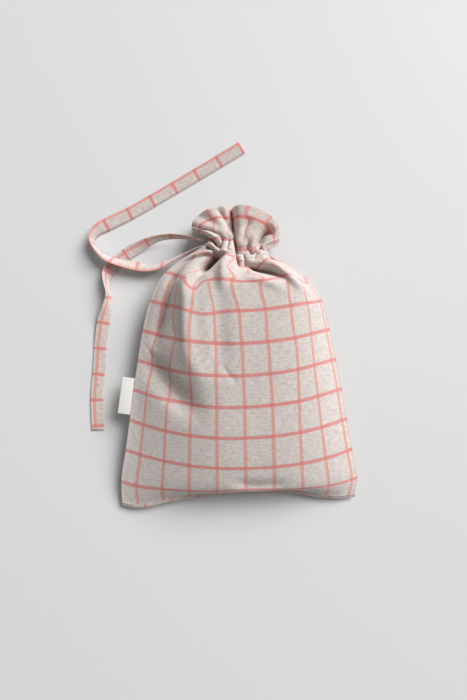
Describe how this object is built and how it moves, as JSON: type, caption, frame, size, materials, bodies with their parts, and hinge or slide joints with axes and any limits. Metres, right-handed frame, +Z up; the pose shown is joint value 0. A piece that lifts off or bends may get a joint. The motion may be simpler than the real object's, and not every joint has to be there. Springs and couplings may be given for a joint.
{
  "type": "drawstring bread bag",
  "caption": "Linen bread bag with a frilled mouth gathered by a drawstring, lying on its back with loose tails and a small blank side tab.",
  "frame": {"origin": "middle of the footprint of the bag and its drawstring, on the surface that the bag lies on", "axes": "+Y runs up the bag from the bottom seam to the frill, +X to the right as the lying bag is seen from above, and +Z up from the surface"},
  "size_m": [0.3284, 0.4488, 0.0835],
  "materials": {
    "linen": "matt woven",
    "tie_linen": "matt woven",
    "label_cloth": "matt woven"
  },
  "bodies": {
    "root": {"front_panel": "linen", "back_panel": "linen", "drawstring": "tie_linen", "label": "label_cloth"}
  },
  "joints": []
}
